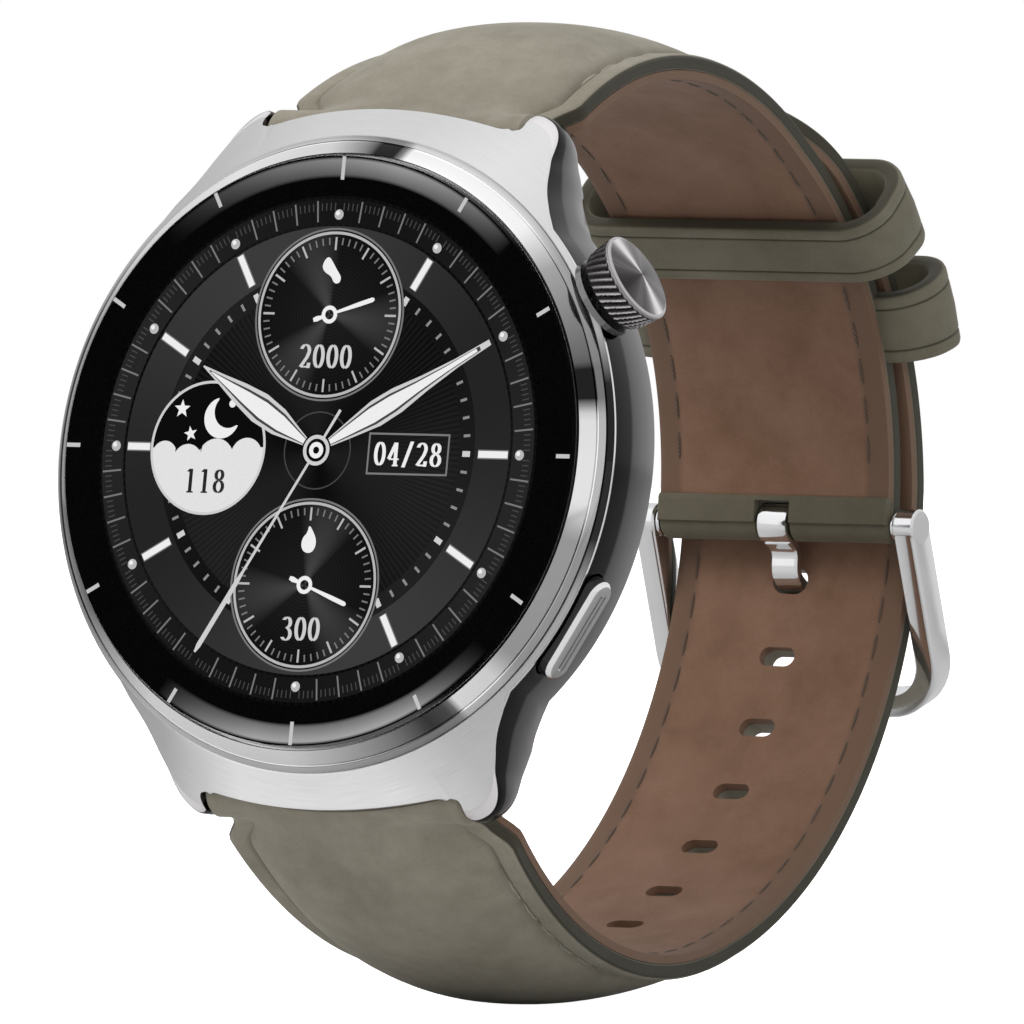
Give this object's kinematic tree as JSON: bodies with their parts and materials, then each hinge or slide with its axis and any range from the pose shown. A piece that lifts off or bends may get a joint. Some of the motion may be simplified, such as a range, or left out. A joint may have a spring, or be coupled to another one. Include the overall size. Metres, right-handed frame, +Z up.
{
  "type": "smartwatch",
  "caption": "Round smartwatch with lit dial, rotating push crown, side button and a padded leather strap on quick-release bars, closed on a pin buckle.",
  "frame": {"origin": "centre of the flat charging face on the back of the case", "axes": "+Z up with the watch leaned back by 9.9 degrees, +X towards the crown side (3 o'clock), -Y the way the dial looks; the 12 o'clock direction is +Z tilted 9.9 degrees towards +Y"},
  "size_m": [0.049, 0.0743, 0.0703],
  "materials": {
    "brushed_steel": "fine brushed stainless steel",
    "polished_steel": "mirror-polished stainless steel",
    "dark_steel": "dark grey coated steel, satin",
    "cover_glass": "clear hard glass with a black printed border",
    "display": "dark display with a lit watch face",
    "sensor_glass": "dark tinted glass",
    "rear_shell": "black ceramic-filled shell, satin gloss",
    "seal_rubber": "matt black rubber",
    "chassis_plastic": "black glass-filled plastic",
    "circuit_board": "green solder mask",
    "cell_foil": "grey foil",
    "copper": "enamelled copper winding",
    "strap_leather": "grey-olive nubuck, softly mottled, darker painted edges",
    "strap_lining": "smooth brown lining leather"
  },
  "bodies": {
    "watch_and_strap": {"mid_frame": "brushed_steel", "bezel_ring": "polished_steel", "cover_glass": "cover_glass", "glass_seal": "seal_rubber", "display_panel": "display", "inner_chassis": "chassis_plastic", "main_board": "circuit_board", "battery": "cell_foil", "vibration_motor": "dark_steel", "speaker_module": "chassis_plastic", "microphone": "cell_foil", "heart_rate_sensor": "circuit_board", "charging_coil": "copper", "rear_cover": "rear_shell", "sensor_window": "sensor_glass", "rear_seal": "seal_rubber", "rear_screw_1": "dark_steel", "rear_screw_2": "dark_steel", "rear_screw_3": "dark_steel", "rear_screw_4": "dark_steel", "crown_tube": "dark_steel", "crown_encoder": "chassis_plastic", "button_switch": "chassis_plastic", "upper_bar_tube": "polished_steel", "upper_bar_spring": "polished_steel", "lower_bar_tube": "polished_steel", "lower_bar_spring": "polished_steel", "upper_strap_leather": "strap_leather", "lower_strap_leather": "strap_leather", "upper_strap_lining": "strap_lining", "lower_strap_lining": "strap_lining", "fixed_keeper": "strap_leather"},
    "crown_plunger": {"crown_slide_plate": "polished_steel"},
    "crown": {"crown_cap": "dark_steel", "crown_stem": "polished_steel", "crown_o_ring": "seal_rubber"},
    "button": {"button_cap": "polished_steel", "button_plunger": "polished_steel", "button_seal": "seal_rubber"},
    "buckle": {"buckle_frame": "polished_steel", "buckle_pin": "polished_steel"},
    "tang": {"buckle_tang": "polished_steel"},
    "keeper": {"floating_keeper": "strap_leather"},
    "upper_release": {"upper_release_pin": "polished_steel"},
    "lower_release": {"lower_release_pin": "polished_steel"}
  },
  "joints": [
    {"name": "crown_press", "type": "slide", "parent": "watch_and_strap", "child": "crown_plunger", "axis": [-0.866, -0.086, -0.4926], "range_m": [0, 0.0004]},
    {"name": "crown_spin", "type": "hinge", "parent": "crown_plunger", "child": "crown", "pos_m": [0.02165, -0.00494, 0.01355], "axis": [0.866, 0.086, 0.4926], "continuous": true},
    {"name": "button_press", "type": "slide", "parent": "watch_and_strap", "child": "button", "axis": [-0.866, 0.086, 0.4926], "range_m": [0, 0.0004]},
    {"name": "buckle_swing", "type": "hinge", "parent": "watch_and_strap", "child": "buckle", "pos_m": [0, 0.05306, -0.00554], "axis": [1, 0, 0], "range_deg": [-2, 5]},
    {"name": "tang_swing", "type": "hinge", "parent": "watch_and_strap", "child": "tang", "pos_m": [0, 0.05306, -0.00554], "axis": [1, 0, 0], "range_deg": [-2, 5]},
    {"name": "keeper_slide", "type": "hinge", "parent": "watch_and_strap", "child": "keeper", "pos_m": [0, 0.02397, -0.00165], "axis": [1, 0, 0], "range_deg": [-2.5, 6]},
    {"name": "upper_release_slide", "type": "slide", "parent": "watch_and_strap", "child": "upper_release", "axis": [-1, 0, 0], "range_m": [0, 0.0014]},
    {"name": "lower_release_slide", "type": "slide", "parent": "watch_and_strap", "child": "lower_release", "axis": [-1, 0, 0], "range_m": [0, 0.0014]}
  ],
  "couplings": [
    {"joint": "tang_swing", "follows": "buckle_swing", "ratio": 1}
  ]
}
